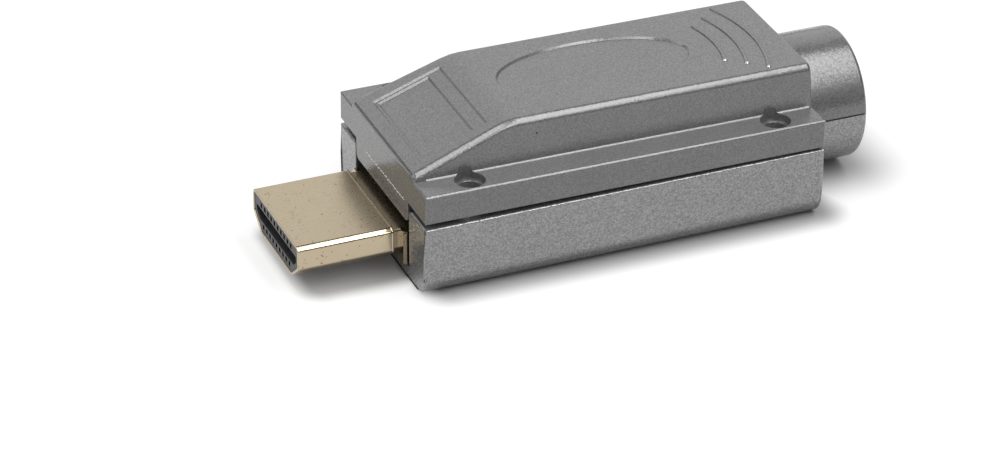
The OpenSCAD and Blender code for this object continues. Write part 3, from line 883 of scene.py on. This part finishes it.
board_green = board_lacquer("board_lacquer", colour=(0.018, 0.15, 0.062), weave_scale=100)

# %% Give each piece its finish
finish_of = {
    "dark_core": core_plastic,
    "contact_plating": bright_gold,
    "plug_plating": champagne,
    "board": board_green,
    "terminal_plastic": block_plastic,
    "tinned_metal": tin,
    "shell_paint": upper_paint_with_painted_shade,
}
for solid in nodes.values():
    slot = solid.material_slots[0].name.split(".")[0]
    solid.material_slots[0].material = finish_of[slot]
upper_casting.material_slots[0].material = upper_paint_with_painted_shade
lower_casting.material_slots[0].material = lower_paint
plug_flange.material_slots[0].material = champagne
sleeve.data.materials.append(champagne)
tongue_flash.data.materials.append(worn_paint)
rib_tips.data.materials.append(worn_paint)
print("finishes by slot:", {slot: finish.name for slot, finish in finish_of.items()})

# %% [markdown]
# ## The sheet of paper
# The plug lies on white paper. A picture's paper is whiter than paint can be under a plain light,
# so the paper gets a glow that only the camera, mirror-like surfaces and clear ones see. The glow
# fades close to the plug, which paints a dark seam and a soft shadow onto the paper around it, on
# top of the real shadow. Mirror-like surfaces see that painted shadow too.

# %% Paper
paper_size = 3.0
paper_grey, paper_glow = (0.33, 0.33, 0.33), (0.62, 0.62, 0.62)
no_glow = (0, 0, 0)

bpy.ops.object.select_all(action="DESELECT")
bpy.ops.mesh.primitive_plane_add(size=paper_size, location=(0, 0, 0))
table = bpy.context.object
table.name = "paper"
paper, tree, shader, spot = new_finish(
    "white_paper", Base_Color=(*paper_grey, 1), Roughness=0.9,
    Specular_IOR_Level=0.0, Emission_Strength=1.0,
)
from_camera, from_gloss, from_clear = (
    Wire.node(tree, "ShaderNodeLightPath", output=ray)
    for ray in ("Is Camera Ray", "Is Glossy Ray", "Is Transmission Ray")
)
seen = from_camera + from_gloss + from_clear
spot_x, spot_y = along_axis(spot, "X"), along_axis(spot, "Y")

# %% Glow around what the plug covers, faded near it into painted shadows


def beyond(wire, low, high):
    """How far a coordinate lies outside a stretch."""
    centre, half = (low + high) / 2, (high - low) / 2
    return ((wire - centre).math("ABSOLUTE") - half).math("MAXIMUM", 0.0)


def glow_with_painted_shadow(low_x, high_x, low_y, high_y, start, reach):
    """Glow from nothing near a covered rectangle to all of it at a distance, all in mm: a painted
    shadow.
    """
    across = beyond(spot_x, low_x * MM, high_x * MM)
    along = beyond(spot_y, low_y * MM, high_y * MM)
    return (across * across + along * along).math("SQRT").between(start * MM, reach * MM)


# The glow fades near the body, the nose and the tube, which paints their shadows on the paper.
# Under the nose a little glow stays, so this painted shadow is not black.
darkest_painted_shadow_plug = 0.06
painted_shadow_under_body = glow_with_painted_shadow(-17.6, 24.8, -11.2, 11.2, start=0.7, reach=4.6)
painted_shadow_near_plug = glow_with_painted_shadow(-29.8, -20.0, -5.8, 5.8, start=0.9, reach=3.9)
painted_shadow_under_plug = darkest_painted_shadow_plug + (1 - darkest_painted_shadow_plug) * painted_shadow_near_plug
painted_shadow_under_tube = glow_with_painted_shadow(24.0, 32.0, -3.0, 3.0, start=0.0, reach=9.0)
glow_with_painted_shadows = painted_shadow_under_body.math("MINIMUM", painted_shadow_under_plug).math("MINIMUM", painted_shadow_under_tube)
feed(shader, "Emission Color", (seen * glow_with_painted_shadows).tint(no_glow, paper_glow))
table.data.materials.append(paper)
print("paper of", paper_size, "m laid under the plug")

# %% [markdown]
# ## Light
# A long strip softbox hangs to the right of the camera and draws the bright lines along the
# rounded edges. A second strip, to the left of the camera, lights the edges of the slope and the
# far side of the oval. A soft square fills in from the left, and a pale sweep stands far behind,
# so that the top and the slope mirror it.

# %% World
world_strength = 0.12
world = bpy.data.worlds.new("studio")
world.use_nodes = True
bpy.context.scene.world = world
background = world.node_tree.nodes["Background"]
background.inputs["Color"].default_value = (1, 1, 1, 1)
background.inputs["Strength"].default_value = world_strength
print("world strength:", world_strength)

# %% Lamps


def softbox(name, place, along, width, depth, radiance, target=(0, 0, 0)):
    """A flat lamp: its depth runs along a direction, and its radiance is that of its face."""
    bpy.ops.object.select_all(action="DESELECT")
    bpy.ops.object.light_add(type="AREA", location=place)
    lamp = bpy.context.object
    lamp.name = name
    lamp.data.shape = "RECTANGLE"
    lamp.data.size = width
    lamp.data.size_y = depth
    lamp.data.energy = radiance * width * depth * math.pi
    back = (Vector(place) - Vector(target)).normalized()
    across = Vector(along).cross(back).normalized()
    lamp.rotation_euler = Matrix((across, back.cross(across), back)).transposed().to_euler()
    print(name, "gives", round(lamp.data.energy, 2), "W")


backwards, upwards = (0, 1, 0), (0, 0, 1)
softbox("key_box", (0.20, -0.27, 0.50), backwards, width=0.18, depth=0.92, radiance=6.3)
softbox("slope_box", (-0.08, -0.19, 0.55), backwards, width=0.20, depth=0.72, radiance=4.6)
softbox("left_fill", (-0.46, 0.08, 0.30), upwards, width=0.50, depth=0.50, radiance=2.0)
softbox(
    "far_backdrop", (0.22, 0.78, 0.44), upwards, width=1.6, depth=0.74, radiance=0.95,
    target=(0, 0, 0.03),
)
bpy.context.scene.view_settings.view_transform = "Standard"
